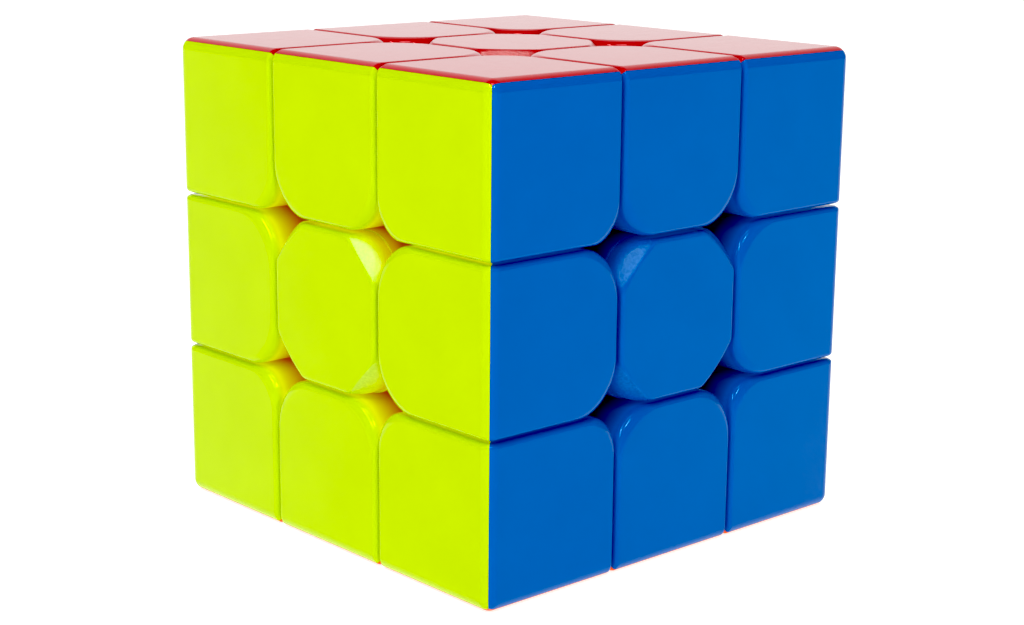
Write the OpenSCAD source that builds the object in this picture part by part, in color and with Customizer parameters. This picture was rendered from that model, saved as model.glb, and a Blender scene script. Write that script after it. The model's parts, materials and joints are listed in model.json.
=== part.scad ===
// Twisty puzzle cube: three layers each way, turning on a core with sprung centres.
// The resting face lies on Z = 0 and the core's centre is above the origin.

/* [Cube] */
// Edge length of the whole cube
cube_size = 56; // [55:0.25:57]
// Gap between two neighbouring pieces
piece_gap = 0.3; // [0.2:0.05:0.4]
// Wall thickness of the coloured shells
shell_wall = 1.3; // [1.1:0.1:1.6]

/* [Turning surfaces] */
// Radius of the ball inside which the feet pass under the shells
ball_r = 24; // [23.5:0.25:24.25]
// Distance from the core's centre to the inner turning planes
inner_plane = 5.5; // [5.25:0.25:6]

/* [Face outlines] */
// Radius of a corner tile's one rounded corner
corner_round = 3.3; // [2.5:0.1:5]
// Radius of an edge tile's two rounded corners
edge_round = 5; // [3:0.1:6]
// Radius of the centre piece's upright corners
centre_round = 4.5; // [4:0.1:6]
// Length that the octagon takes off each side of the centre tile
octagon_cut = 5.3; // [4.6:0.1:5.8]
// Slope of the facets beside the octagon, in degrees
facet_slope = 48; // [35:1:52]
// How far the centre base stands out past its cap
base_lip = 0.15; // [0.1:0.05:0.3]

/* [Core] */
// Radius of the core's six arms
arm_r = 3; // [2.8:0.1:3.2]
// Distance from the core's centre to an arm's end
arm_reach = 12.5; // [12:0.1:13]

/* [Centre pieces] */
// Height of the well's floor above the core's centre
well_floor = 14.4; // [14.2:0.1:14.8]
// Thickness of that floor
floor_wall = 1.4; // [1.2:0.1:1.6]
// Radius of the well that holds spring, washer and screw head
well_r = 4.2; // [4.1:0.05:4.3]
// Height of the seat on which the cap rests
cap_seat = 24.8; // [24.5:0.1:25]
// Thickness of the cap's face
cap_face = 1.4; // [1.2:0.1:1.6]
// Depth to which the cap's clip ring reaches into the well
clip_depth = 1.7; // [1.2:0.1:1.8]

/* [Tension screws] */
// Radius of the screw's shank
shank_r = 1.15; // [1:0.05:1.25]
// Radius of the screw's head
head_r = 2.6; // [2.4:0.1:2.8]
// Height of the screw's head
head_height = 2; // [1.8:0.1:2.2]
// Height of the screw's tip above the core's centre
screw_tip = 6.5; // [6.3:0.1:7]
// Radius of the washer
washer_r = 3.8; // [3.6:0.05:3.9]
// Thickness of the washer
washer_wall = 0.6; // [0.4:0.1:0.7]
// Length of the fitted spring
spring_length = 6; // [5.5:0.25:6.25]
// Radius of the spring's coil, to the middle of its wire
spring_r = 2.9; // [2.6:0.1:3.1]
// Radius of the spring's wire
wire_r = 0.3; // [0.25:0.05:0.35]
// Turns of the spring
spring_turns = 5; // [4:0.5:5.5]

/* [Hidden] */

// Half of the cube, and the outer turning planes that cut it into three layers
half = cube_size / 2;
outer_plane = cube_size / 6;
clear = piece_gap / 2;

// A centre or edge reaches this far from its middle, outside and inside the ball
tile_half = outer_plane - clear;
stem_half = inner_plane - clear;
// Corners and edges start here, outside and inside the ball
shell_start = outer_plane + clear;
foot_start = inner_plane + clear;

// The plug on each foot that fills the opening in its shells
plug_end = 14.5;
plug_half = 4;

// Running fits, on the radius
screw_fit = 0.05;
arm_fit = 0.08;
clip_fit = 0.05;
shank_hole_r = shank_r + 0.2;

// The rest of the core, the cap's clip ring and the screw with its cross recess
clip_ring_wall = 0.9;
pilot_floor = 4.9;
arm_root = 4;
tip_chamfer = 0.6;
head_chamfer = 0.6;
recess_depth = 1.2;
recess_width = 0.7;
recess_length = 3;

// Heights above the core's centre where the washer and the screw's head sit
washer_seat = well_floor + spring_length;
head_seat = washer_seat + washer_wall;
head_top = head_seat + head_height;

// Resolution of arcs, of round parts and of the spring
arc_steps = 7;
round_fn = 64;
ball_fn = 96;
wire_sides = 8;
rings_per_turn = 11;
// How much closer the spring's end coils lie than its middle ones
end_closing = 0.4;
// Longer than anything that it cuts, and how far a cutter starts before it
reach = 40;
lead = 1;

// Colours
dark = [0.10, 0.10, 0.11];
steel = [0.70, 0.71, 0.73];
blue = [0.00, 0.36, 0.72];
green = [0.00, 0.60, 0.28];
yellow = [0.80, 0.94, 0.00];
white = [0.93, 0.93, 0.93];
red = [0.85, 0.07, 0.10];
orange = [1.00, 0.42, 0.05];

// Axes, to say which way an edge runs and which way a shell faces
X = 0;
Y = 1;
Z = 2;

// ---- Placing ----

// Turns the axes round by steps: X to Y, Y to Z and Z to X
module cycle(steps) {
    turns = [[0, 0, 0], [90, 0, 90], [0, -90, -90]];
    rotate(turns[steps]) children();
}

// Changes Y and Z over
module swap_yz() {
    rotate([90, 0, 180]) children();
}

// Carries what is built in the all-positive octant to the octant with these signs
module in_octant(signs) {
    mirror([signs[X] < 0 ? 1 : 0, 0, 0])
        mirror([0, signs[Y] < 0 ? 1 : 0, 0])
            mirror([0, 0, signs[Z] < 0 ? 1 : 0])
                children();
}

// Carries what is built pointing up to another face
module to_front() { rotate([90, 0, 0]) children(); }
module to_back() { rotate([-90, 0, 0]) children(); }
module to_left() { rotate([0, -90, 0]) children(); }
module to_right() { rotate([0, 90, 0]) children(); }
module to_top() { children(); }
module to_bottom() { rotate([180, 0, 0]) children(); }

// Carries it to each of the six faces
module to_every_face() {
    to_front() children();
    to_back() children();
    to_left() children();
    to_right() children();
    to_top() children();
    to_bottom() children();
}

// Lifts a part from the core's centre to its place, and colours it
module placed(paint) {
    translate([0, 0, half]) color(paint) children();
}

// ---- Outlines ----

function arc(x, y, r, from, to) = [
    for (i = [0 : arc_steps])
        let (a = from + (to - from) * i / arc_steps)
        [x + r * cos(a), y + r * sin(a)]
];

// A corner tile: a square with its inner corner rounded
module corner_outline(inset) {
    low = shell_start + inset;
    high = half - inset;
    r = corner_round - inset;
    polygon(concat(arc(low + r, low + r, r, 180, 270),
                   [[high, low], [high, high], [low, high]]));
}

// An edge tile: a square with its two inner corners rounded
module edge_outline(inset) {
    side = tile_half - inset;
    low = shell_start + inset;
    high = half - inset;
    r = edge_round - inset;
    polygon(concat(arc(r - side, low + r, r, 180, 270),
                   arc(side - r, low + r, r, 270, 360),
                   [[side, high], [-side, high]]));
}

// A centre piece: a square with four rounded corners
module centre_outline(inset) {
    c = tile_half - centre_round;
    r = centre_round - inset;
    polygon(concat(arc(c, c, r, 0, 90), arc(-c, c, r, 90, 180),
                   arc(-c, -c, r, 180, 270), arc(c, -c, r, 270, 360)));
}

// ---- Mitres between two shells ----

// Where Z is greater than Y
module above_y() {
    translate([-reach, 0, 0])
        cycle(1) linear_extrude(2 * reach) polygon([[0, 0], [reach, reach], [0, reach]]);
}

// Where Z is greater than X
module above_x() {
    translate([0, reach, 0])
        rotate([90, 0, 0])
            linear_extrude(reach) polygon([[0, 0], [reach, reach], [0, reach]]);
}

// ---- Corner pieces ----

module corner_body(inset) {
    intersection_for (steps = [0 : 2])
        cycle(steps)
            translate([0, 0, shell_start + inset])
                linear_extrude(half - shell_start - 2 * inset) corner_outline(inset);
}

module corner_plug() {
    translate([foot_start, foot_start, foot_start]) cube(plug_end - foot_start);
}

// The one of a corner's three shells that faces up
module corner_shell() {
    intersection() {
        difference() {
            corner_body(0);
            corner_body(shell_wall);
            corner_plug();
        }
        above_y();
        above_x();
    }
}

module corner_foot() {
    difference() {
        intersection() {
            sphere(ball_r - clear, $fn = ball_fn);
            translate([foot_start, foot_start, foot_start]) cube(reach);
        }
        translate([shell_start, shell_start, shell_start]) cube(reach);
    }
    translate([shell_start, shell_start, shell_start]) cube(plug_end - shell_start);
}

// The shell of the corner in this octant that faces this way
module corner_tile(signs, facing) {
    in_octant(signs) cycle((facing + 1) % 3) corner_shell();
}

// ---- Edge pieces ----

// The ball that the feet turn in, except where the edge's own foot joins it
module passage(inset) {
    side = stem_half - inset;
    difference() {
        sphere(ball_r + clear + inset, $fn = ball_fn);
        translate([-side, 0, 0]) cube([2 * side, reach, reach]);
    }
}

module edge_prism(inset) {
    translate([0, 0, shell_start + inset])
        linear_extrude(half - shell_start - 2 * inset) edge_outline(inset);
}

module edge_body(inset) {
    difference() {
        intersection() {
            edge_prism(inset);
            swap_yz() edge_prism(inset);
        }
        passage(inset);
    }
}

module edge_plug() {
    translate([-plug_half, shell_start, shell_start])
        cube([2 * plug_half, plug_end - shell_start, plug_end - shell_start]);
}

// The one of an edge's two shells that faces up, on the edge that runs along X
module edge_shell() {
    intersection() {
        difference() {
            edge_body(0);
            edge_body(shell_wall);
            edge_plug();
        }
        above_y();
    }
}

module edge_foot() {
    difference() {
        intersection() {
            sphere(ball_r - clear, $fn = ball_fn);
            translate([-stem_half, foot_start, foot_start])
                cube([2 * stem_half, reach, reach]);
        }
        translate([-reach, shell_start, shell_start]) cube(2 * reach);
    }
    edge_plug();
}

// The shell that faces this way, of the edge that runs along this axis
module edge_tile(along, signs, facing) {
    in_octant(signs) cycle(along) {
        if (facing == (along + 2) % 3) edge_shell();
        else swap_yz() edge_shell();
    }
}

// ---- Centre pieces, pointing up ----

module centre_base() {
    bottom_well = well_floor - floor_wall;
    difference() {
        union() {
            difference() {
                translate([0, 0, outer_plane])
                    linear_extrude(cap_seat - outer_plane) centre_outline(0);
                sphere(ball_r + clear, $fn = ball_fn);
            }
            translate([-stem_half, -stem_half, foot_start])
                cube([2 * stem_half, 2 * stem_half, cap_seat - foot_start]);
        }
        cylinder(h = bottom_well, r = arm_r + arm_fit, $fn = round_fn);
        cylinder(h = reach, r = shank_hole_r, $fn = round_fn);
        translate([0, 0, well_floor]) cylinder(h = reach, r = well_r, $fn = round_fn);
    }
}

// What the facets take off the four corners of the cap, or of the hollow inside it
module facet_cuts(inset) {
    from_axis = (2 * tile_half - octagon_cut) / sqrt(2);
    for (turn = [45 : 90 : 315])
        rotate([0, 0, turn])
            translate([from_axis, 0, half])
                rotate([0, facet_slope, 0])
                    translate([-reach, -reach, -inset]) cube(2 * reach);
}

module centre_cap() {
    ceiling = half - cap_face;
    ring_r = well_r - clip_fit;
    difference() {
        translate([0, 0, cap_seat])
            linear_extrude(half - cap_seat) centre_outline(base_lip);
        facet_cuts(0);
        difference() {
            translate([0, 0, cap_seat - lead])
                linear_extrude(ceiling - cap_seat + lead)
                    centre_outline(base_lip + shell_wall);
            facet_cuts(shell_wall);
        }
    }
    difference() {
        translate([0, 0, cap_seat - clip_depth])
            cylinder(h = ceiling - cap_seat + clip_depth, r = ring_r, $fn = round_fn);
        cylinder(h = reach, r = ring_r - clip_ring_wall, $fn = round_fn);
    }
}

// ---- Core and tension screws, pointing up ----

module core_shape() {
    difference() {
        union() {
            cube(2 * stem_half, center = true);
            to_every_face()
                translate([0, 0, arm_root])
                    cylinder(h = arm_reach - arm_root, r = arm_r, $fn = round_fn);
        }
        to_every_face()
            translate([0, 0, pilot_floor])
                cylinder(h = arm_reach, r = shank_r + screw_fit, $fn = round_fn);
    }
}

module tension_screw() {
    difference() {
        rotate_extrude($fn = round_fn)
            polygon([
                [0, screw_tip], [shank_r - tip_chamfer, screw_tip],
                [shank_r, screw_tip + tip_chamfer], [shank_r, head_seat],
                [head_r, head_seat], [head_r, head_top - head_chamfer],
                [head_r - head_chamfer, head_top], [0, head_top]
            ]);
        for (turn = [0, 90])
            rotate([0, 0, turn])
                translate([-recess_length / 2, -recess_width / 2, head_top - recess_depth])
                    cube([recess_length, recess_width, reach]);
    }
}

module washer() {
    difference() {
        translate([0, 0, washer_seat]) cylinder(h = washer_wall, r = washer_r, $fn = round_fn);
        cylinder(h = reach, r = shank_hole_r, $fn = round_fn);
    }
}

// A wire swept round a helix whose end coils lie closer together
module coil_spring() {
    rings = round(spring_turns * rings_per_turn);
    rise = spring_length - 2 * wire_r;
    function turned(i) = 360 * spring_turns * i / rings;
    function height(i) =
        well_floor + wire_r
        + rise * (i / rings - end_closing * sin(360 * i / rings) / (2 * PI));
    points = [
        for (i = [0 : rings], j = [0 : wire_sides - 1])
            let (a = turned(i), b = 360 * j / wire_sides, r = spring_r + wire_r * cos(b))
            [r * cos(a), r * sin(a), height(i) + wire_r * sin(b)]
    ];
    sides = [
        for (i = [0 : rings - 1], j = [0 : wire_sides - 1])
            let (k = (j + 1) % wire_sides, a = i * wire_sides, b = a + wire_sides)
            [a + j, a + k, b + k, b + j]
    ];
    first = [[for (j = [wire_sides - 1 : -1 : 0]) j]];
    last = [[for (j = [0 : wire_sides - 1]) rings * wire_sides + j]];
    polyhedron(points, concat(sides, first, last));
}

// ---- Core, screws, washers and springs ----

module core() { placed(dark) core_shape(); }

module front_screw() { placed(steel) to_front() tension_screw(); }
module back_screw() { placed(steel) to_back() tension_screw(); }
module left_screw() { placed(steel) to_left() tension_screw(); }
module right_screw() { placed(steel) to_right() tension_screw(); }
module top_screw() { placed(steel) to_top() tension_screw(); }
module bottom_screw() { placed(steel) to_bottom() tension_screw(); }

module front_washer() { placed(steel) to_front() washer(); }
module back_washer() { placed(steel) to_back() washer(); }
module left_washer() { placed(steel) to_left() washer(); }
module right_washer() { placed(steel) to_right() washer(); }
module top_washer() { placed(steel) to_top() washer(); }
module bottom_washer() { placed(steel) to_bottom() washer(); }

module front_spring() { placed(steel) to_front() coil_spring(); }
module back_spring() { placed(steel) to_back() coil_spring(); }
module left_spring() { placed(steel) to_left() coil_spring(); }
module right_spring() { placed(steel) to_right() coil_spring(); }
module top_spring() { placed(steel) to_top() coil_spring(); }
module bottom_spring() { placed(steel) to_bottom() coil_spring(); }

// ---- Centre bases and caps ----

module front_centre_base() { placed(blue) to_front() centre_base(); }
module back_centre_base() { placed(green) to_back() centre_base(); }
module left_centre_base() { placed(yellow) to_left() centre_base(); }
module right_centre_base() { placed(white) to_right() centre_base(); }
module top_centre_base() { placed(red) to_top() centre_base(); }
module bottom_centre_base() { placed(orange) to_bottom() centre_base(); }

module front_centre_cap() { placed(blue) to_front() centre_cap(); }
module back_centre_cap() { placed(green) to_back() centre_cap(); }
module left_centre_cap() { placed(yellow) to_left() centre_cap(); }
module right_centre_cap() { placed(white) to_right() centre_cap(); }
module top_centre_cap() { placed(red) to_top() centre_cap(); }
module bottom_centre_cap() { placed(orange) to_bottom() centre_cap(); }

// ---- Feet ----

// The four corner feet of the layer above or below the middle
module corner_feet(up) {
    for (x = [-1, 1], y = [-1, 1]) in_octant([x, y, up]) corner_foot();
}

// The four edge feet of that layer
module edge_feet(up) {
    for (side = [-1, 1]) {
        in_octant([1, side, up]) cycle(X) edge_foot();
        in_octant([side, 1, up]) cycle(Y) edge_foot();
    }
}

module top_corner_feet() { placed(dark) corner_feet(1); }
module bottom_corner_feet() { placed(dark) corner_feet(-1); }
module top_edge_feet() { placed(dark) edge_feet(1); }
module bottom_edge_feet() { placed(dark) edge_feet(-1); }
module middle_edge_feet() {
    placed(dark)
        for (x = [-1, 1], y = [-1, 1]) in_octant([x, y, 1]) cycle(Z) edge_foot();
}

// ---- Coloured shells ----

// A layer's four corner shells that face up or down
module level_corners(up) {
    for (x = [-1, 1], y = [-1, 1]) corner_tile([x, y, up], Z);
}

// A layer's four edge shells that face up or down
module level_edges(up) {
    for (side = [-1, 1]) {
        edge_tile(X, [1, side, up], Z);
        edge_tile(Y, [side, 1, up], Z);
    }
}

// A layer's two corner shells on the front (-1) or the back (1)
module facing_y_corners(side, up) {
    for (x = [-1, 1]) corner_tile([x, side, up], Y);
}

// A layer's two corner shells on the left (-1) or the right (1)
module facing_x_corners(side, up) {
    for (y = [-1, 1]) corner_tile([side, y, up], X);
}

module facing_y_edge(side, up) { edge_tile(X, [1, side, up], Y); }
module facing_x_edge(side, up) { edge_tile(Y, [side, 1, up], X); }

// The middle layer's two edge shells on one face
module middle_y_edges(side) {
    for (x = [-1, 1]) edge_tile(Z, [x, side, 1], Y);
}
module middle_x_edges(side) {
    for (y = [-1, 1]) edge_tile(Z, [side, y, 1], X);
}

module top_red_corners() { placed(red) level_corners(1); }
module top_red_edges() { placed(red) level_edges(1); }
module top_blue_corners() { placed(blue) facing_y_corners(-1, 1); }
module top_blue_edge() { placed(blue) facing_y_edge(-1, 1); }
module top_green_corners() { placed(green) facing_y_corners(1, 1); }
module top_green_edge() { placed(green) facing_y_edge(1, 1); }
module top_yellow_corners() { placed(yellow) facing_x_corners(-1, 1); }
module top_yellow_edge() { placed(yellow) facing_x_edge(-1, 1); }
module top_white_corners() { placed(white) facing_x_corners(1, 1); }
module top_white_edge() { placed(white) facing_x_edge(1, 1); }

module middle_blue_edges() { placed(blue) middle_y_edges(-1); }
module middle_green_edges() { placed(green) middle_y_edges(1); }
module middle_yellow_edges() { placed(yellow) middle_x_edges(-1); }
module middle_white_edges() { placed(white) middle_x_edges(1); }

module bottom_orange_corners() { placed(orange) level_corners(-1); }
module bottom_orange_edges() { placed(orange) level_edges(-1); }
module bottom_blue_corners() { placed(blue) facing_y_corners(-1, -1); }
module bottom_blue_edge() { placed(blue) facing_y_edge(-1, -1); }
module bottom_green_corners() { placed(green) facing_y_corners(1, -1); }
module bottom_green_edge() { placed(green) facing_y_edge(1, -1); }
module bottom_yellow_corners() { placed(yellow) facing_x_corners(-1, -1); }
module bottom_yellow_edge() { placed(yellow) facing_x_edge(-1, -1); }
module bottom_white_corners() { placed(white) facing_x_corners(1, -1); }
module bottom_white_edge() { placed(white) facing_x_edge(1, -1); }

core();
front_screw();
back_screw();
left_screw();
right_screw();
top_screw();
bottom_screw();
front_washer();
back_washer();
left_washer();
right_washer();
top_washer();
bottom_washer();
front_spring();
back_spring();
left_spring();
right_spring();
top_spring();
bottom_spring();
front_centre_base();
back_centre_base();
left_centre_base();
right_centre_base();
top_centre_base();
bottom_centre_base();
front_centre_cap();
back_centre_cap();
left_centre_cap();
right_centre_cap();
top_centre_cap();
bottom_centre_cap();
top_corner_feet();
bottom_corner_feet();
top_edge_feet();
middle_edge_feet();
bottom_edge_feet();
top_red_corners();
top_red_edges();
top_blue_corners();
top_blue_edge();
top_green_corners();
top_green_edge();
top_yellow_corners();
top_yellow_edge();
top_white_corners();
top_white_edge();
middle_blue_edges();
middle_green_edges();
middle_yellow_edges();
middle_white_edges();
bottom_orange_corners();
bottom_orange_edges();
bottom_blue_corners();
bottom_blue_edge();
bottom_green_corners();
bottom_green_edge();
bottom_yellow_corners();
bottom_yellow_edge();
bottom_white_corners();
bottom_white_edge();
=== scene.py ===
"""Looks of the twisty puzzle cube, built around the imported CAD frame. Units are metres."""

import json
import math
from collections import defaultdict, namedtuple
from itertools import product

import bmesh
import bpy
from mathutils import Matrix, Vector


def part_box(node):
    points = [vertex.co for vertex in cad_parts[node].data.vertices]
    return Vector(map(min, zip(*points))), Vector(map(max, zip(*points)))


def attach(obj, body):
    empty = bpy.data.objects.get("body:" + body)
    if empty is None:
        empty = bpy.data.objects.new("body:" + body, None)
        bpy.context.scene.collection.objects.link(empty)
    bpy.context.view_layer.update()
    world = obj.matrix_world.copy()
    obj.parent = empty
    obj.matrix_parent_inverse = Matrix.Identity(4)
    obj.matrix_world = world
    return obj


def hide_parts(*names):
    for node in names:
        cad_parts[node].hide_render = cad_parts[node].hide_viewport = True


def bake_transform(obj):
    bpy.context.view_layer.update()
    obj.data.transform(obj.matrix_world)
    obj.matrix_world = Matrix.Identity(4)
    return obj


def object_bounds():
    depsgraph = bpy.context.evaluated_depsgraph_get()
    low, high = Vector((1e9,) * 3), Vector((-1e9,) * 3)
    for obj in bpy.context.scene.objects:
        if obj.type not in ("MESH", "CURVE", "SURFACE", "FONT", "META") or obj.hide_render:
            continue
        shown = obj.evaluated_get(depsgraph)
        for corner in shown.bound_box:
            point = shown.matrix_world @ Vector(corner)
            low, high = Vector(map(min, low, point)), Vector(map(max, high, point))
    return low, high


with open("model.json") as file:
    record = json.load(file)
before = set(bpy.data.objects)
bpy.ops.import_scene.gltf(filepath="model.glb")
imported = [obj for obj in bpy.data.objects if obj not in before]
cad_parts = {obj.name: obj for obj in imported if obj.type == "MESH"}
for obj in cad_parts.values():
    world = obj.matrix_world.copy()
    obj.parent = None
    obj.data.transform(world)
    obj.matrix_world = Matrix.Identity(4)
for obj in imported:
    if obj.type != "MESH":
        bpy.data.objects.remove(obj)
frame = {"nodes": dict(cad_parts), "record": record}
cad_low, cad_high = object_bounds()

MM = 0.001

# ---- Sizes taken from the frame ----

HALF = (cad_high.x - cad_low.x) / 2
MIDDLE = Vector((0, 0, (cad_low.z + cad_high.z) / 2))
edge_low, edge_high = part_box("top_blue_edge")
TILE_HALF = edge_high.x
SHELL_START = edge_low.z - MIDDLE.z
CAP_SEAT = -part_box("front_centre_base")[0].y
STEM_START = -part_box("front_centre_base")[1].y
CAP_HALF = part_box("front_centre_cap")[1].x
CLIP_END = -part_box("front_centre_cap")[1].y
WASHER_LOW = -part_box("front_washer")[1].y
SCREW_TIP = -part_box("front_screw")[1].y
SCREW_TOP = -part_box("front_screw")[0].y

# ---- Sizes repeated from the CAD source ----

CORNER_ROUND = 3.3 * MM
EDGE_ROUND = 5.0 * MM
CENTRE_ROUND = 4.5 * MM
OCTAGON_CUT = 5.3 * MM
FACET_SLOPE = math.radians(48)
SHELL_WALL = 1.3 * MM
PASSAGE_R = 24.15 * MM
STEM_HALF = 5.35 * MM
WELL_FLOOR = 14.4 * MM
WELL_R = 4.2 * MM
FLOOR_WALL = 1.4 * MM
ARM_BORE_R = 3.08 * MM
SHANK_HOLE_R = 1.35 * MM
CLIP_R = 4.15 * MM
CLIP_WALL = 0.9 * MM
CAP_FACE = 1.4 * MM
SHANK_R = 1.15 * MM
THREAD_ROOT_R = 0.9 * MM
THREAD_PITCH = 0.7 * MM
HEAD_R = 2.6 * MM
HEAD_HEIGHT = 2.0 * MM
SPRING_R = 2.9 * MM
WIRE_R = 0.3 * MM
SPRING_TURNS = 5
SPRING_END_CLOSING = 0.4
PLUG_START = 5.65 * MM
PLUG_END = 14.5 * MM
EDGE_PLUG_HALF = 4.0 * MM

# ---- Fillets ----

OUTER_FILLET = 1.45 * MM
GAP_FILLET = 0.55 * MM
CAP_FILLET = 0.5 * MM
ARC_FILLET = 1.4 * MM
FACET_BOW = 0.2 * MM
FACET_RADIUS = 22 * MM
CREASE_BLEND = 0.16 * MM
CREASE_REACH = (2 * TILE_HALF - OCTAGON_CUT) / math.sqrt(2)
SEAM_HALF = 0.012 * MM
FILLET_STEPS = 8
ARC_STEPS = 20
SIDE_STEPS = 48
ROUND_SIDES = 96
SHARP_ANGLE = math.radians(40)
SMOOTH_ANGLE = math.radians(30)
CAP_GRID = 0.1 * MM
CAP_GRID_END = 3.2 * MM

X, Y, Z = 0, 1, 2
LAYER_NAMES = {1: "top", 0: "middle", -1: "bottom"}
FACES = {
    (Y, -1): ("front", "blue"), (Y, 1): ("back", "green"),
    (X, -1): ("left", "yellow"), (X, 1): ("right", "white"),
    (Z, 1): ("top", "red"), (Z, -1): ("bottom", "orange"),
}
AXES = (Vector((1, 0, 0)), Vector((0, 1, 0)), Vector((0, 0, 1)))

behaviour = frame["record"]["behaviour"]
BODY_OF = {node: body for body, nodes in behaviour["bodies"].items() for node in nodes}
SLOT_OF = {s["node"]: s["material_slot"] for s in frame["record"]["subparts"]}


# ---- Camera ----

CAMERA_AZIMUTH = math.radians(-42.26)
CAMERA_ELEVATION = math.radians(13.31)
CAMERA_ROLL = math.radians(0.56)
CAMERA_DISTANCE = 237.2 * MM
CAMERA_RIGHT = 0.27 * MM
CAMERA_UP = -4.55 * MM
LENS_MM = 69.18


def make_camera():
    a, e, r = CAMERA_AZIMUTH, CAMERA_ELEVATION, CAMERA_ROLL
    back = Vector((math.sin(a) * math.cos(e), -math.cos(a) * math.cos(e), math.sin(e)))
    level = Vector((math.cos(a), math.sin(a), 0))
    upright = back.cross(level)
    right = level * math.cos(r) + upright * math.sin(r)
    up = upright * math.cos(r) - level * math.sin(r)
    data = bpy.data.cameras.new("camera")
    data.lens = LENS_MM
    data.sensor_width = 36
    camera = bpy.data.objects.new("camera", data)
    place = MIDDLE + back * CAMERA_DISTANCE + right * CAMERA_RIGHT + up * CAMERA_UP
    turn = Matrix((right, up, back)).transposed().to_4x4()
    camera.matrix_world = Matrix.Translation(place) @ turn
    data.clip_start = 0.01
    data.clip_end = 20
    bpy.context.scene.collection.objects.link(camera)
    bpy.context.scene.camera = camera


# ---- Mesh tools ----

def to_object(bm, name="scratch"):
    mesh = bpy.data.meshes.new(name)
    bmesh.ops.recalc_face_normals(bm, faces=bm.faces)
    bm.to_mesh(mesh)
    bm.free()
    made = bpy.data.objects.new(name, mesh)
    bpy.context.scene.collection.objects.link(made)
    return made


def applied(made):
    """Puts an object's modifiers into its mesh."""
    bpy.context.view_layer.update()
    graph = bpy.context.evaluated_depsgraph_get()
    mesh = bpy.data.meshes.new_from_object(made.evaluated_get(graph))
    old = made.data
    made.modifiers.clear()
    made.data = mesh
    bpy.data.meshes.remove(old)
    return made


def combined(made, other, operation):
    """One solid with another cut from it or joined to it. The other is used up."""
    modifier = made.modifiers.new("solid", "BOOLEAN")
    modifier.operation = operation
    modifier.solver = "EXACT"
    modifier.object = other
    applied(made)
    mesh = other.data
    bpy.data.objects.remove(other)
    bpy.data.meshes.remove(mesh)
    return made


def box_mesh(low, high):
    bm = bmesh.new()
    bmesh.ops.create_cube(bm, size=1)
    for vertex in bm.verts:
        for k in range(3):
            vertex.co[k] = high[k] if vertex.co[k] > 0 else low[k]
    return bm


def box_object(low, high):
    return to_object(box_mesh(low, high))


def prism_mesh(outline, low, high):
    """A closed outline in X and Y, drawn up from low to high."""
    bm = bmesh.new()
    rings = [[bm.verts.new((x, y, z)) for x, y in outline] for z in (low, high)]
    bm.faces.new(rings[0][::-1])
    bm.faces.new(rings[1])
    for i in range(len(outline)):
        j = (i + 1) % len(outline)
        bm.faces.new((rings[0][i], rings[0][j], rings[1][j], rings[1][i]))
    return bm


def ring_mesh(rings):
    """Skins rings of points, each ring with the same count, and closes both ends."""
    bm = bmesh.new()
    made = [[bm.verts.new(p) for p in ring] for ring in rings]
    count = len(made[0])
    for a, b in zip(made, made[1:]):
        for i in range(count):
            j = (i + 1) % count
            bm.faces.new((a[i], a[j], b[j], b[i]))
    bm.faces.new(made[0][::-1])
    bm.faces.new(made[-1])
    return bm


def cylinder_object(radius, low, high):
    turn = 2 * math.pi / ROUND_SIDES
    outline = [(radius * math.cos(turn * i), radius * math.sin(turn * i))
               for i in range(ROUND_SIDES)]
    return to_object(prism_mesh(outline, low, high))


def sphere_object(radius):
    bm = bmesh.new()
    bmesh.ops.create_uvsphere(bm, u_segments=160, v_segments=80, radius=radius)
    return to_object(bm)


def rounded_square(half, radius, side_steps=1):
    centre = half - radius
    points = []
    for quarter in range(4):
        way = (math.cos(math.pi / 4 + quarter * math.pi / 2) > 0,
               math.sin(math.pi / 4 + quarter * math.pi / 2) > 0)
        x, y = (centre if positive else -centre for positive in way)
        for i in range(ARC_STEPS + 1):
            a = math.pi / 2 * (quarter + i / ARC_STEPS)
            points.append((x + radius * math.cos(a), y + radius * math.sin(a)))
        way = (round(-math.sin(a)), round(math.cos(a)))
        for i in range(1, side_steps):
            points.append((points[-1][0] + way[0] * 2 * centre / side_steps,
                           points[-1][1] + way[1] * 2 * centre / side_steps))
    return points


def keep_side(bm, point, normal):
    """Cuts a closed mesh with a plane, keeps what lies behind it and closes the cut."""
    geometry = [*bm.verts, *bm.edges, *bm.faces]
    bmesh.ops.bisect_plane(bm, geom=geometry, dist=1e-8, plane_co=point, plane_no=normal,
                           clear_outer=True)
    rim = [e for e in bm.edges if e.is_boundary]
    bmesh.ops.triangle_fill(bm, use_beauty=False, use_dissolve=True, edges=rim, normal=normal)


def bevel_weights(bm, weight_of):
    layer = bm.edges.layers.float.new("bevel_weight_edge")
    for edge in bm.edges:
        edge[layer] = weight_of(edge)


def filleted(bm, weight_of):
    """Rounds each edge to the outer fillet times what weight_of says."""
    bevel_weights(bm, weight_of)
    made = to_object(bm)
    modifier = made.modifiers.new("fillet", "BEVEL")
    modifier.limit_method = "WEIGHT"
    modifier.width = OUTER_FILLET
    modifier.segments = FILLET_STEPS
    modifier.use_clamp_overlap = False
    modifier.miter_outer = "MITER_SHARP"
    return applied(made)


def is_sharp(edge):
    return len(edge.link_faces) == 2 and edge.calc_face_angle() > SHARP_ANGLE


def outward_faces(edge, outer_axes):
    """How many of an edge's two faces are the cube's own faces."""
    return sum(max(face.normal.dot(AXES[k]) for k in outer_axes) > 0.999
               for face in edge.link_faces)


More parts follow.
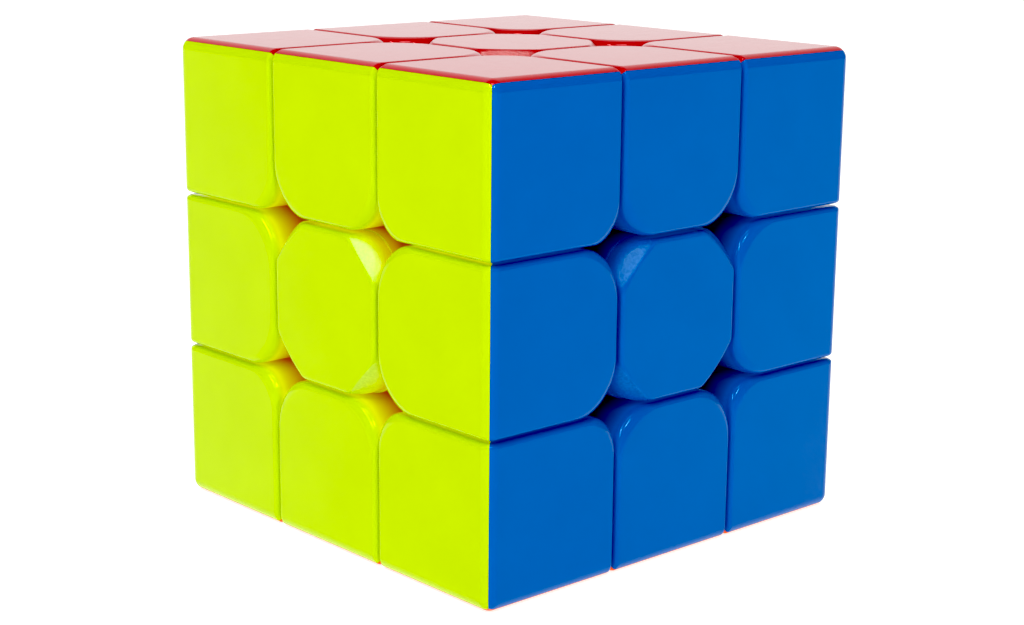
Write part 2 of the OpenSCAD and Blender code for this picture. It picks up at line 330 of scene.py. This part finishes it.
def tile_weight(outer_axes):
    """Full fillets where two of the cube's faces meet, small ones beside the gaps.

    Beside a gap the fillet widens towards the middle of a rounded corner.
    """
    def weight_of(edge):
        if not is_sharp(edge):
            return 0
        outward = outward_faces(edge, outer_axes)
        if outward == 2:
            return 1
        if outward == 0:
            return 0
        way = (edge.verts[0].co - edge.verts[1].co).normalized()
        lean = 2 * max(abs(way[k] * way[j]) for k, j in ((X, Y), (Y, Z), (Z, X)))
        return (GAP_FILLET + (ARC_FILLET - GAP_FILLET) * lean) / OUTER_FILLET
    return weight_of


def round_edges(bm, chosen, radius):
    bmesh.ops.bevel(bm, geom=[e for e in bm.edges if chosen(e)], offset=radius,
                    offset_type="OFFSET", segments=ARC_STEPS, profile=0.5,
                    affect="EDGES", clamp_overlap=False)
    bm.normal_update()


def on_plane(edge, axis, value):
    return all(abs(v.co[axis] - value) < 1e-6 for v in edge.verts)


# ---- Shells, built in the all-positive octant and facing up ----

def corner_shell():
    low, high = Vector((SHELL_START,) * 3), Vector((HALF,) * 3)
    bm = box_mesh(low, high)
    round_edges(bm, lambda e: sum(on_plane(e, k, SHELL_START) for k in range(3)) == 2,
                CORNER_ROUND)
    made = filleted(bm, tile_weight((X, Y, Z)))
    bm = bmesh.new()
    bm.from_mesh(made.data)
    for other in (X, Y):
        normal = (AXES[other] - AXES[Z]).normalized()
        keep_side(bm, -normal * SEAM_HALF, normal)
    bpy.data.objects.remove(made)
    plug = box_object((PLUG_START,) * 3, (PLUG_END,) * 3)
    return combined(to_object(bm, "corner_shell"), plug, "DIFFERENCE")


def edge_shell():
    low = Vector((-TILE_HALF, SHELL_START, SHELL_START))
    high = Vector((TILE_HALF, HALF, HALF))
    bm = box_mesh(low, high)

    def is_inner(edge):
        at_side = on_plane(edge, X, TILE_HALF) or on_plane(edge, X, -TILE_HALF)
        return at_side and (on_plane(edge, Y, SHELL_START) != on_plane(edge, Z, SHELL_START))

    round_edges(bm, is_inner, EDGE_ROUND)
    made = filleted(bm, tile_weight((Y, Z)))
    passage = sphere_object(PASSAGE_R)
    slab = box_object((-STEM_HALF, 0, 0), (STEM_HALF, 2 * HALF, 2 * HALF))
    combined(made, combined(passage, slab, "DIFFERENCE"), "DIFFERENCE")
    bm = bmesh.new()
    bm.from_mesh(made.data)
    normal = (AXES[Y] - AXES[Z]).normalized()
    keep_side(bm, -normal * SEAM_HALF, normal)
    bpy.data.objects.remove(made)
    plug = box_object((-EDGE_PLUG_HALF, PLUG_START, PLUG_START),
                      (EDGE_PLUG_HALF, PLUG_END, PLUG_END))
    return combined(to_object(bm, "edge_shell"), plug, "DIFFERENCE")


# ---- Centre pieces, built pointing up ----

def facet_height(x, y):
    """Height of the nearest facet, which is bowed as part of a wide cone."""
    along, across = (abs(x) + abs(y)) / math.sqrt(2), (abs(x) - abs(y)) / math.sqrt(2)
    middle = CREASE_REACH + FACET_BOW / 2 - FACET_RADIUS
    beyond = math.hypot(along - middle, across) - FACET_RADIUS
    return HALF - beyond * math.tan(FACET_SLOPE)


def cap_height(x, y):
    """The lower of the flat face and the facets, with the crease between them softened."""
    height = facet_height(x, y)
    blend = max(0, 1 - abs(HALF - height) / CREASE_BLEND)
    return min(HALF, height) - CREASE_BLEND * blend * blend / 4


def cap_rings():
    """Outlines of the cap's outside, from its seat up the walls and inward over the face."""
    def outline(inset):
        return rounded_square(CAP_HALF - inset, CENTRE_ROUND - inset, SIDE_STEPS)

    yield [(x, y, CAP_SEAT) for x, y in outline(0)]
    for k in range(FILLET_STEPS + 1):
        a = math.pi / 2 * k / FILLET_STEPS
        inset, drop = CAP_FILLET * (1 - math.cos(a)), CAP_FILLET * (1 - math.sin(a))
        yield [(x, y, cap_height(x, y) - drop) for x, y in outline(inset)]
    for k in range(1, round((CAP_GRID_END - CAP_FILLET) / CAP_GRID) + 1):
        yield [(x, y, cap_height(x, y)) for x, y in outline(CAP_FILLET + k * CAP_GRID)]


def cut_facets(bm, inset):
    """Takes the corners off the hollow inside a cap, a wall's thickness behind the facets."""
    for corner in range(4):
        outward = Matrix.Rotation(math.radians(45 + 90 * corner), 3, "Z") @ AXES[X]
        normal = outward * math.sin(FACET_SLOPE) + AXES[Z] * math.cos(FACET_SLOPE)
        keep_side(bm, outward * CREASE_REACH + AXES[Z] * HALF - normal * inset, normal)


def centre_cap():
    made = to_object(ring_mesh(list(cap_rings())))
    hollow = prism_mesh(rounded_square(CAP_HALF - SHELL_WALL, CENTRE_ROUND - SHELL_WALL),
                        CAP_SEAT - MM, HALF - CAP_FACE)
    cut_facets(hollow, SHELL_WALL)
    combined(made, to_object(hollow), "DIFFERENCE")
    clip = cylinder_object(CLIP_R, CLIP_END, HALF - CAP_FACE + SEAM_HALF)
    bore = cylinder_object(CLIP_R - CLIP_WALL, CLIP_END - MM, HALF - CAP_FACE)
    combined(made, combined(clip, bore, "DIFFERENCE"), "UNION")
    made.name = "centre_cap"
    return made


def centre_base():
    made = to_object(prism_mesh(rounded_square(TILE_HALF, CENTRE_ROUND), SHELL_START, CAP_SEAT))
    combined(made, sphere_object(PASSAGE_R), "DIFFERENCE")
    stem = box_object((-STEM_HALF, -STEM_HALF, STEM_START), (STEM_HALF, STEM_HALF, CAP_SEAT))
    combined(made, stem, "UNION")
    combined(made, cylinder_object(ARM_BORE_R, 0, WELL_FLOOR - FLOOR_WALL), "DIFFERENCE")
    combined(made, cylinder_object(SHANK_HOLE_R, 0, HALF), "DIFFERENCE")
    combined(made, cylinder_object(WELL_R, WELL_FLOOR, HALF), "DIFFERENCE")
    made.name = "centre_base"
    return made


# ---- Placing ----

def cycle(steps):
    """Turns the axes round: X to Y, Y to Z and Z to X, that many times."""
    step = Matrix(((0, 0, 1), (1, 0, 0), (0, 1, 0)))
    turned = Matrix.Identity(3)
    for _ in range(steps):
        turned = step @ turned
    return turned


def corner_place(signs, facing):
    return Matrix.Diagonal(signs) @ cycle((facing + 1) % 3)


def edge_place(along, signs, facing):
    swap = Matrix(((-1, 0, 0), (0, 0, 1), (0, 1, 0)))
    straight = facing == (along + 2) % 3
    return Matrix.Diagonal(signs) @ cycle(along) @ (Matrix.Identity(3) if straight else swap)


def face_place(axis, sign):
    """Turns what points up to point out of a face, as the CAD does."""
    turns = {
        (Z, 1): Matrix.Identity(3),
        (Z, -1): Matrix.Rotation(math.pi, 3, "X"),
        (Y, -1): Matrix.Rotation(math.pi / 2, 3, "X"),
        (Y, 1): Matrix.Rotation(-math.pi / 2, 3, "X"),
        (X, 1): Matrix.Rotation(math.pi / 2, 3, "Y"),
        (X, -1): Matrix.Rotation(-math.pi / 2, 3, "Y"),
    }
    return turns[axis, sign]


def placed_copy(model, places, name):
    """One object that holds the model once at each place about the cube's middle."""
    bm = bmesh.new()
    for place in places:
        part = bmesh.new()
        part.from_mesh(model.data)
        part.transform(Matrix.Translation(MIDDLE) @ place.to_4x4())
        if place.determinant() < 0:
            bmesh.ops.reverse_faces(part, faces=part.faces)
        scratch = bpy.data.meshes.new("part")
        part.to_mesh(scratch)
        part.free()
        bm.from_mesh(scratch)
        bpy.data.meshes.remove(scratch)
    mesh = bpy.data.meshes.new(name)
    bm.to_mesh(mesh)
    bm.free()
    made = bpy.data.objects.new(name, mesh)
    bpy.context.scene.collection.objects.link(made)
    return made


def soft_shading(made):
    """Smooth shading that breaks at sharp edges."""
    mesh = made.data
    mesh.polygons.foreach_set("use_smooth", [True] * len(mesh.polygons))
    mesh.set_sharp_from_angle(angle=SMOOTH_ANGLE)
    modifier = made.modifiers.new("flat faces", "WEIGHTED_NORMAL")
    modifier.keep_sharp = True
    modifier.weight = 100


def stand_for(made, node, material, rides=True):
    made.data.materials.append(material)
    soft_shading(made)
    if rides:
        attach(made, BODY_OF[node])
    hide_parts(node)
    SLOT_OF[node]


def shell_places():
    """For each CAD node of shells, which model it uses and where."""
    places = defaultdict(list)
    for signs in product((-1, 1), repeat=3):
        for facing in (X, Y, Z):
            colour = FACES[facing, signs[facing]][1]
            node = f"{LAYER_NAMES[signs[Z]]}_{colour}_corners"
            places[node, "corner"].append(corner_place(signs, facing))
    for along in (X, Y, Z):
        others = [k for k in (X, Y, Z) if k != along]
        for pair in product((-1, 1), repeat=2):
            signs = [1, 1, 1]
            signs[others[0]], signs[others[1]] = pair
            for facing in others:
                colour = FACES[facing, signs[facing]][1]
                layer = LAYER_NAMES[0 if along == Z else signs[Z]]
                many = along == Z or facing == Z
                node = f"{layer}_{colour}_{'edges' if many else 'edge'}"
                places[node, "edge"].append(edge_place(along, signs, facing))
    return places


# ---- Screws and springs, built pointing up ----

UNTHREADED = 0.6 * MM
HEAD_SIDE = 0.9 * MM
HEAD_EDGE = 0.15 * MM
CROWN_INSET = 1.1 * MM
RECESS_DEPTH = 1.2 * MM
RECESS_LENGTH = 3.0 * MM
RECESS_WIDTH = 0.7 * MM
RECESS_TAPER = 0.8
CROWN_STEPS = 9
SCREW_SIDES = 48
RINGS_A_PITCH = 12
THREAD_STEEPNESS = 2.6
COIL_STEPS = 40
WIRE_SIDES = 14


def circle(radius, z):
    turn = 2 * math.pi / SCREW_SIDES
    return [(radius * math.cos(turn * i), radius * math.sin(turn * i), z)
            for i in range(SCREW_SIDES)]


def thread_rings(shank_end):
    """The shank's helical thread, which runs out at both ends."""
    step = THREAD_PITCH / RINGS_A_PITCH
    count = int((shank_end - UNTHREADED - SCREW_TIP) / step)
    for k in range(2, count + 1):
        z = SCREW_TIP + k * step
        runout = min(1, k / RINGS_A_PITCH) * min(1, (count + 4 - k) / RINGS_A_PITCH)
        ring = []
        for i in range(SCREW_SIDES):
            phase = (z / THREAD_PITCH - i / SCREW_SIDES) % 1
            ridge = max(0, 1 - THREAD_STEEPNESS * abs(phase - 0.5)) * runout
            radius = THREAD_ROOT_R + (SHANK_R - THREAD_ROOT_R) * ridge
            turn = 2 * math.pi * i / SCREW_SIDES
            ring.append((radius * math.cos(turn), radius * math.sin(turn), z))
        yield ring


def tension_screw():
    """A threaded shank under a rounded head with a cross recess."""
    shank_end = SCREW_TOP - HEAD_HEIGHT
    profile = [(THREAD_ROOT_R, shank_end), (HEAD_R - HEAD_EDGE, shank_end),
               (HEAD_R, shank_end + HEAD_EDGE), (HEAD_R, shank_end + HEAD_SIDE)]
    for k in range(1, CROWN_STEPS + 1):
        a = math.pi / 2 * k / CROWN_STEPS
        profile.append((HEAD_R - CROWN_INSET * (1 - math.cos(a)),
                        shank_end + HEAD_SIDE + (HEAD_HEIGHT - HEAD_SIDE) * math.sin(a)))
    rings = [circle(SHANK_R / 2, SCREW_TIP), *thread_rings(shank_end)]
    rings += [circle(radius, z) for radius, z in profile]
    made = to_object(ring_mesh(rings))
    for width, length in ((RECESS_WIDTH, RECESS_LENGTH), (RECESS_LENGTH, RECESS_WIDTH)):
        slot = box_mesh((-width / 2, -length / 2, SCREW_TOP - RECESS_DEPTH),
                        (width / 2, length / 2, SCREW_TOP + MM))
        for vertex in slot.verts:
            if vertex.co.z < SCREW_TOP:
                vertex.co.x *= RECESS_TAPER
                vertex.co.y *= RECESS_TAPER
        combined(made, to_object(slot), "DIFFERENCE")
    made.name = "tension_screw"
    return made


def coil_spring(first=0.0, last=1.0):
    """Round wire whose end coils lie close. First and last are shares of its turns."""
    count = SPRING_TURNS * COIL_STEPS
    low, high = WELL_FLOOR + WIRE_R, WASHER_LOW - WIRE_R
    rings = []
    for i in range(round(count * first), round(count * last) + 1):
        turn = 2 * math.pi * i / count
        height = low + (high - low) * (turn - SPRING_END_CLOSING * math.sin(turn)) / (2 * math.pi)
        out = Vector((math.cos(SPRING_TURNS * turn), math.sin(SPRING_TURNS * turn), 0))
        rings.append([out * (SPRING_R + WIRE_R * math.cos(b))
                      + AXES[Z] * (height + WIRE_R * math.sin(b))
                      for b in (2 * math.pi * j / WIRE_SIDES for j in range(WIRE_SIDES))])
    return to_object(ring_mesh(rings), "coil_spring")


# ---- Materials ----

class Nodes:
    """A short way to add and join a material's nodes."""

    def __init__(self, name):
        self.material = bpy.data.materials.new(name)
        self.material.use_nodes = True
        self.tree = self.material.node_tree
        self.shader = self.tree.nodes["Principled BSDF"]

    def add(self, kind, **values):
        node = self.tree.nodes.new(kind)
        for key, value in values.items():
            setattr(node, key, value)
        return node

    def join(self, source, target):
        self.tree.links.new(source, target)

    def noise(self, scale, detail):
        node = self.add("ShaderNodeTexNoise")
        node.inputs["Scale"].default_value = scale
        node.inputs["Detail"].default_value = detail
        self.join(self.coordinates(), node.inputs["Vector"])
        return node.outputs["Fac"]

    def maths(self, operation, first, second=None):
        node = self.add("ShaderNodeMath", operation=operation)
        for socket, value in zip(node.inputs, (first, second)):
            if isinstance(value, bpy.types.NodeSocket):
                self.join(value, socket)
            elif value is not None:
                socket.default_value = value
        return node.outputs["Value"]

    def coordinates(self, kind="Object"):
        if not hasattr(self, "_coordinates"):
            self._coordinates = self.add("ShaderNodeTexCoord")
        return self._coordinates.outputs[kind]

    def parts(self, vector):
        node = self.add("ShaderNodeSeparateXYZ")
        self.join(vector, node.inputs["Vector"])
        return node.outputs

    def ranged(self, source, low, high, to_low, to_high):
        node = self.add("ShaderNodeMapRange")
        for key, value in zip(("From Min", "From Max", "To Min", "To Max"),
                              (low, high, to_low, to_high)):
            node.inputs[key].default_value = value
        self.join(source, node.inputs["Value"])
        return node.outputs["Result"]

    def mixed(self, share, first, second):
        node = self.add("ShaderNodeMix", data_type="RGBA")
        for key, value in (("A", first), ("B", second)):
            socket = next(s for s in node.inputs if s.name == key and s.type == "RGBA")
            if isinstance(value, bpy.types.NodeSocket):
                self.join(value, socket)
            else:
                socket.default_value = (*value, 1)
        self.join(share, node.inputs["Factor"])
        return next(s for s in node.outputs if s.type == "RGBA")

    def bump(self, height, distance, strength, under=None):
        node = self.add("ShaderNodeBump")
        node.inputs["Distance"].default_value = distance
        node.inputs["Strength"].default_value = strength
        self.join(height, node.inputs["Height"])
        if under is not None:
            self.join(under, node.inputs["Normal"])
        return node.outputs["Normal"]


# Depths behind the cube's face at which the painted shade and painted glow of the gaps begin and
# are full
WALL_SHADE_DEPTHS = (0.3 * MM, 1.4 * MM)
HOLE_SHADE_DEPTHS = (1.6 * MM, 5.0 * MM)
# Deep ledges that face outward take this share of the painted shade as well
LEDGE_SHADE_DEPTHS = (2.4 * MM, HALF - CAP_SEAT)
LEDGE_SHADE_SHARE = 0.5
CREASE_WIDTH = 0.3 * MM

# Bumps, each with its noise's scale and its height in metres
ORANGE_PEEL = (300, 1.5e-6)
FINE_PEEL = (2600, 3e-7)
SPARK_GRAIN = (3400, 3e-5)

# The part of a noise's values that is spread over a material's range
NOISE_SPAN = (0.3, 0.7)
CLOUD_SPAN = (0.35, 0.65)
GRAIN_SPAN = (0.4, 0.65)

PLASTIC_ROUGHNESS = (0.07, 0.12)
FACET_ROUGHNESS = 0.24
CLOUD_GAIN, CLOUD_LIFT = 1.03, 0.001
# Painted glints: specks of the facets' grain are painted brighter by this gain and lift, on at
# most this share
PAINTED_SPARKLE_GAIN, PAINTED_SPARKLE_LIFT = 1.6, 0.06
PAINTED_SPARKLE_SHARE = 0.25
PLASTIC_SPECULAR = 0.5
FACET_SPECULAR = 1


def from_middle(nodes):
    """The three distances from the cube's middle."""
    place = nodes.parts(nodes.coordinates())
    return [nodes.maths("ABSOLUTE", nodes.maths("SUBTRACT", place[k], MIDDLE[k]))
            for k in (X, Y, Z)]


def wall_share(nodes, axis):
    """0 where a surface lies along the cube's face and 1 on the walls of the gaps."""
    out = nodes.parts(nodes.coordinates("Normal"))[axis]
    return nodes.maths("SUBTRACT", 1, nodes.maths("ABSOLUTE", out))


def facet_share(nodes, distances, axis):
    """0 on a cap's flat face and 1 on its four sloping facets."""
    across = [distances[k] for k in (X, Y, Z) if k != axis]
    crease = CREASE_REACH * math.sqrt(2)
    return nodes.ranged(nodes.maths("ADD", *across), crease, crease + CREASE_WIDTH, 0, 1)


def brighter(colour, gain, lift):
    return tuple(min(1, c * gain + lift) for c in colour)


def gap_shade_shares(nodes, distances, axis):
    """How far a surface has gone over to the painted shade and glow of the gaps' walls and of the
    holes.
    """
    behind = nodes.maths("SUBTRACT", HALF, distances[axis])
    # Outward-facing ledges deep in the holes get part of the painted shade as well.
    ledge_shade = nodes.ranged(behind, *LEDGE_SHADE_DEPTHS, 0, LEDGE_SHADE_SHARE)
    upright = nodes.maths("MAXIMUM", wall_share(nodes, axis), ledge_shade)
    return [nodes.maths("MULTIPLY", upright, nodes.ranged(behind, *depths, 0, 1))
            for depths in (WALL_SHADE_DEPTHS, HOLE_SHADE_DEPTHS)]


def texture_facets(nodes, tone, share, colour, rough, surface):
    """The fine grain of spark erosion, which only a cap's facets have: a real bump and rougher
    finish, with painted glints where specks of the grain are painted brighter.
    """
    scale, height = SPARK_GRAIN
    grain = nodes.noise(scale, detail=1)
    surface = nodes.bump(nodes.maths("MULTIPLY", share, grain), height, 1, surface)
    rough = nodes.maths("ADD", rough, nodes.maths("MULTIPLY", share, FACET_ROUGHNESS))
    # Painted glints: the grain's specks are painted brighter on the facets.
    painted_sparkle = nodes.ranged(grain, *GRAIN_SPAN, 0, PAINTED_SPARKLE_SHARE)
    colour = nodes.mixed(nodes.maths("MULTIPLY", share, painted_sparkle), colour,
                         brighter(tone.tile, PAINTED_SPARKLE_GAIN, PAINTED_SPARKLE_LIFT))
    inputs = nodes.shader.inputs
    nodes.join(nodes.mixed(share, tone.tint, tone.facet_tint), inputs["Specular Tint"])
    nodes.join(nodes.ranged(share, 0, 1, PLASTIC_SPECULAR, FACET_SPECULAR),
               inputs["Specular IOR Level"])
    return colour, rough, surface


def moulded_plastic(name, tone, axis, textured=False):
    """Polished ABS with fine mottling and orange peel; down the gaps it is painted darker as
    painted shade, and an emission glow paints the light bounced between the walls.
    """
    nodes = Nodes(name)
    inputs = nodes.shader.inputs
    distances = from_middle(nodes)
    wall, hole = gap_shade_shares(nodes, distances, axis)
    cloud = nodes.ranged(nodes.noise(140, detail=3), *CLOUD_SPAN, 0, 1)
    colour = nodes.mixed(cloud, tone.tile, brighter(tone.tile, CLOUD_GAIN, CLOUD_LIFT))
    rough = nodes.ranged(nodes.noise(700, detail=4), *NOISE_SPAN, *PLASTIC_ROUGHNESS)
    scale, height = ORANGE_PEEL
    surface = nodes.bump(nodes.noise(scale, detail=1), height, 0.5)
    scale, height = FINE_PEEL
    surface = nodes.bump(nodes.noise(scale, detail=2), height, 0.5, surface)
    inputs["Specular Tint"].default_value = (*tone.tint, 1)
    if textured:
        share = facet_share(nodes, distances, axis)
        colour, rough, surface = texture_facets(nodes, tone, share, colour, rough, surface)
    # Painted shade down the gaps: the colour goes over to the darker wall and hole tones.
    colour = nodes.mixed(hole, nodes.mixed(wall, colour, tone.wall), tone.hole)
    # Painted bounced light: the gaps' walls and the holes glow by emission, though no lamp is
    # there.
    painted_glow = nodes.mixed(hole, nodes.mixed(wall, (0, 0, 0), tone.wall_glow), tone.hole_glow)
    nodes.join(colour, inputs["Base Color"])
    nodes.join(painted_glow, inputs["Emission Color"])
    inputs["Emission Strength"].default_value = 1
    nodes.join(rough, inputs["Roughness"])
    nodes.join(surface, inputs["Normal"])
    return nodes.material


NYLON_GREYS = ((0.008, 0.008, 0.009), (0.02, 0.02, 0.022))
NYLON_ROUGHNESS = (0.38, 0.55)
NYLON_GRAIN = (2500, 8e-6)
STEEL_GREYS = ((0.52, 0.53, 0.55), (0.68, 0.69, 0.70))
STEEL_ROUGHNESS = (0.2, 0.38)
STEEL_GRAIN = (5000, 3e-6)


def dark_nylon():
    nodes = Nodes("dark_plastic")
    cloud = nodes.ranged(nodes.noise(300, detail=3), *NOISE_SPAN, 0, 1)
    nodes.join(nodes.mixed(cloud, *NYLON_GREYS), nodes.shader.inputs["Base Color"])
    nodes.join(nodes.ranged(nodes.noise(1200, detail=3), *NOISE_SPAN, *NYLON_ROUGHNESS),
               nodes.shader.inputs["Roughness"])
    scale, height = NYLON_GRAIN
    nodes.join(nodes.bump(nodes.noise(scale, detail=3), height, 0.7),
               nodes.shader.inputs["Normal"])
    return nodes.material


def bright_steel():
    nodes = Nodes("steel")
    cloud = nodes.ranged(nodes.noise(500, detail=4), *NOISE_SPAN, 0, 1)
    nodes.join(nodes.mixed(cloud, *STEEL_GREYS), nodes.shader.inputs["Base Color"])
    nodes.shader.inputs["Metallic"].default_value = 1
    scale, height = STEEL_GRAIN
    fine = nodes.noise(scale, detail=3)
    nodes.join(nodes.ranged(fine, *NOISE_SPAN, *STEEL_ROUGHNESS),
               nodes.shader.inputs["Roughness"])
    nodes.join(nodes.bump(fine, height, 0.5), nodes.shader.inputs["Normal"])
    return nodes.material


# For each colour: its flat faces, the painted shade of the gaps' walls and of the holes' depths,
# the painted glow of bounced light in the last two, and the tints of what the polished faces and
# the textured facets reflect.
Tone = namedtuple("Tone", "tile wall hole wall_glow hole_glow tint facet_tint")
TONES = {
    "blue": Tone(
        tile=(0.0, 0.108, 0.405), wall=(0.0, 0.08, 0.32), hole=(0.0, 0.02, 0.08),
        wall_glow=(0.0, 0.05, 0.16), hole_glow=(0.03, 0.016, 0.035),
        tint=(0.15, 0.5, 1.0), facet_tint=(0.18, 0.31, 0.4)),
    "green": Tone(
        tile=(0.0, 0.32, 0.06), wall=(0.0, 0.2, 0.035), hole=(0.0, 0.07, 0.01),
        wall_glow=(0.0, 0.0, 0.0), hole_glow=(0.0, 0.012, 0.001),
        tint=(0.2, 1.0, 0.4), facet_tint=(0.25, 0.5, 0.35)),
    "yellow": Tone(
        tile=(0.452, 0.645, 0.0), wall=(0.52, 0.56, 0.0), hole=(0.42, 0.14, 0.0),
        wall_glow=(0.27, 0.31, 0.0), hole_glow=(0.17, 0.045, 0.0),
        tint=(0.8, 1.0, 0.05), facet_tint=(0.4, 0.45, 0.68)),
    "white": Tone(
        tile=(0.78, 0.78, 0.77), wall=(0.66, 0.65, 0.63), hole=(0.45, 0.44, 0.42),
        wall_glow=(0.02, 0.02, 0.018), hole_glow=(0.03, 0.028, 0.025),
        tint=(1.0, 1.0, 1.0), facet_tint=(0.5, 0.5, 0.5)),
    "red": Tone(
        tile=(0.45, 0.02, 0.025), wall=(0.56, 0.04, 0.035), hole=(0.40, 0.01, 0.01),
        wall_glow=(0.15, 0.1, 0.09), hole_glow=(0.05, 0.05, 0.055),
        tint=(1.0, 0.3, 0.32), facet_tint=(1.0, 0.9, 0.85)),
    "orange": Tone(
        tile=(0.86, 0.13, 0.008), wall=(0.7, 0.09, 0.002), hole=(0.5, 0.035, 0.0),
        wall_glow=(0.04, 0.004, 0.0), hole_glow=(0.08, 0.008, 0.0),
        tint=(1.0, 0.6, 0.3), facet_tint=(0.5, 0.4, 0.3)),
}


def make_materials():
    made = {"dark_plastic": dark_nylon(), "steel": bright_steel()}
    for (axis, _), (_, colour) in FACES.items():
        for kind in ("plastic", "cap"):
            name = f"{colour}_{kind}"
            made[name] = moulded_plastic(name, TONES[colour], axis, textured=kind == "cap")
    return made


# ---- Assembly ----

def make_shells(materials):
    models = {"corner": corner_shell(), "edge": edge_shell()}
    for (node, kind), places in shell_places().items():
        made = placed_copy(models[kind], places, f"{node}.shells")
        stand_for(made, node, materials[SLOT_OF[node]])
    for model in models.values():
        bpy.data.objects.remove(model)


def make_centres(materials):
    models = {"centre_base": centre_base(), "centre_cap": centre_cap(), "screw": tension_screw()}
    for (axis, sign), (face, colour) in FACES.items():
        for part, model in models.items():
            node = f"{face}_{part}"
            made = placed_copy(model, [face_place(axis, sign)], f"{node}.piece")
            own = f"{colour}_cap" if part == "centre_cap" else SLOT_OF[node]
            stand_for(made, node, materials[own])
    for model in models.values():
        bpy.data.objects.remove(model)


def make_spring(model, place, node, name, start, end, materials):
    """A spring, or half of one, set in place between two heights; it rides no body."""
    made = placed_copy(model, [place], f"{node}.{name}")
    stand_for(made, node, materials[SLOT_OF[node]], rides=False)
    ends = [MIDDLE + place @ (AXES[Z] * height) for height in (start, end)]
    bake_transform(made)


def make_springs(materials):
    """Each spring stands on its centre and ends at its washer, and both of them move.

    A piece can bend between two bodies only. The springs of the four sides are split at the
    middle into two halves, and the top and bottom ones are whole. None of them is attached
    to a body.
    """
    middle = (WELL_FLOOR + WASHER_LOW) / 2
    whole, lower, upper = coil_spring(), coil_spring(last=0.5), coil_spring(first=0.5)
    for (axis, sign), (face, _) in FACES.items():
        place, node, core = face_place(axis, sign), f"{face}_spring", BODY_OF["core"]
        washer = (core, BODY_OF[node])
        if axis == Z:
            make_spring(whole, place, node, "piece", WELL_FLOOR, WASHER_LOW, materials)
            continue
        centre = (core, BODY_OF[f"{face}_centre_base"])
        make_spring(lower, place, node, "inner", middle, WELL_FLOOR, materials)
        make_spring(upper, place, node, "outer", middle, WASHER_LOW, materials)
    for model in (whole, lower, upper):
        bpy.data.objects.remove(model)


CAD_EDGE_RADIUS = 0.12 * MM


def finish_cad_nodes(materials):
    """The nodes that stay get their material, and a small radius on their edges."""
    for node, made in frame["nodes"].items():
        if made.hide_render:
            continue
        made.data.materials.clear()
        made.data.materials.append(materials[SLOT_OF[node]])
        modifier = made.modifiers.new("radius", "BEVEL")
        modifier.limit_method = "ANGLE"
        modifier.angle_limit = SHARP_ANGLE
        modifier.width = CAD_EDGE_RADIUS
        modifier.segments = 2
        modifier.harden_normals = False


# ---- Floor and light ----

FLOOR_HALF = 6
FLOOR_GREYS = ((0.55, 0.55, 0.55), (0.58, 0.58, 0.58))
FLOOR_GLOW = 0.8
AMBIENT = 0.3
BACKDROP = 1.06
BACKDROP_WAY = (0.66, 0.72, 0.23)
BACKDROP_EDGE = (0.55, 0.85)
BLACK_LEVEL = 0.045

# Direction from the cube, way along the light, distance and sizes in metres, power in watts
Light = namedtuple("Light", "direction along distance size power")
LIGHTS = {
    "left_strip": Light((-0.64, -0.20, 0.74), (0.24, 0.80, 0.47), 1.0, (0.7, 0.07), 5.0),
    "right_strip": Light((-0.28, -0.59, 0.75), (0.80, 0.24, 0.47), 1.0, (0.25, 0.05), 2.6),
    "top_box": Light((-0.2, -0.14, 0.97), (1, -1, 0), 1.0, (0.24, 0.24), 1.4),
    "front_box": Light((-0.62, -0.76, 0.2), (1, -1, 0), 1.2, (0.9, 0.5), 0.8),
}


def make_floor():
    """A pale light table: it glows a little, so that its white is even."""
    bm = bmesh.new()
    bmesh.ops.create_grid(bm, x_segments=1, y_segments=1, size=FLOOR_HALF)
    floor = to_object(bm, "floor")
    floor.location.z = cad_low.z
    nodes = Nodes("floor")
    nodes.join(nodes.mixed(nodes.noise(20, detail=3), *FLOOR_GREYS),
               nodes.shader.inputs["Base Color"])
    nodes.shader.inputs["Roughness"].default_value = 0.9
    nodes.shader.inputs["Specular IOR Level"].default_value = 0.1
    nodes.shader.inputs["Emission Color"].default_value = (1, 1, 1, 1)
    nodes.shader.inputs["Emission Strength"].default_value = FLOOR_GLOW
    floor.data.materials.append(nodes.material)


def area_light(name, light):
    """A soft box that faces the cube. The first of its sizes lies along the given way."""
    data = bpy.data.lights.new(name, "AREA")
    data.shape = "RECTANGLE"
    data.size, data.size_y = light.size
    data.energy = light.power
    made = bpy.data.objects.new(name, data)
    back = Vector(light.direction).normalized()
    side = back.cross(Vector(light.along)).normalized()
    turn = Matrix((side.cross(back), side, back)).transposed().to_4x4()
    made.matrix_world = Matrix.Translation(MIDDLE + back * light.distance) @ turn
    bpy.context.scene.collection.objects.link(made)


def make_world():
    """Soft grey light all round, and a bright backdrop behind the cube."""
    world = bpy.data.worlds.new("studio")
    world.use_nodes = True
    tree = world.node_tree
    way = tree.nodes.new("ShaderNodeTexCoord").outputs["Generated"]
    dot = tree.nodes.new("ShaderNodeVectorMath")
    dot.operation = "DOT_PRODUCT"
    dot.inputs[1].default_value = Vector(BACKDROP_WAY).normalized()
    tree.links.new(way, dot.inputs[0])
    strength = tree.nodes.new("ShaderNodeMapRange")
    strength.interpolation_type = "SMOOTHSTEP"
    for key, value in zip(("From Min", "From Max", "To Min", "To Max"),
                          (*BACKDROP_EDGE, AMBIENT, BACKDROP)):
        strength.inputs[key].default_value = value
    tree.links.new(dot.outputs["Value"], strength.inputs["Value"])
    background = tree.nodes["Background"]
    background.inputs["Color"].default_value = (1, 1, 1, 1)
    tree.links.new(strength.outputs["Result"], background.inputs["Strength"])
    bpy.context.scene.world = world


def make_light():
    make_world()
    for name, light in LIGHTS.items():
        area_light(name, light)
    view = bpy.context.scene.view_settings
    view.view_transform = "Standard"
    view.use_curve_mapping = True
    view.curve_mapping.black_level = (BLACK_LEVEL,) * 3
    view.curve_mapping.update()


make_camera()
materials = make_materials()
make_shells(materials)
make_centres(materials)
make_springs(materials)
finish_cad_nodes(materials)
make_floor()
make_light()
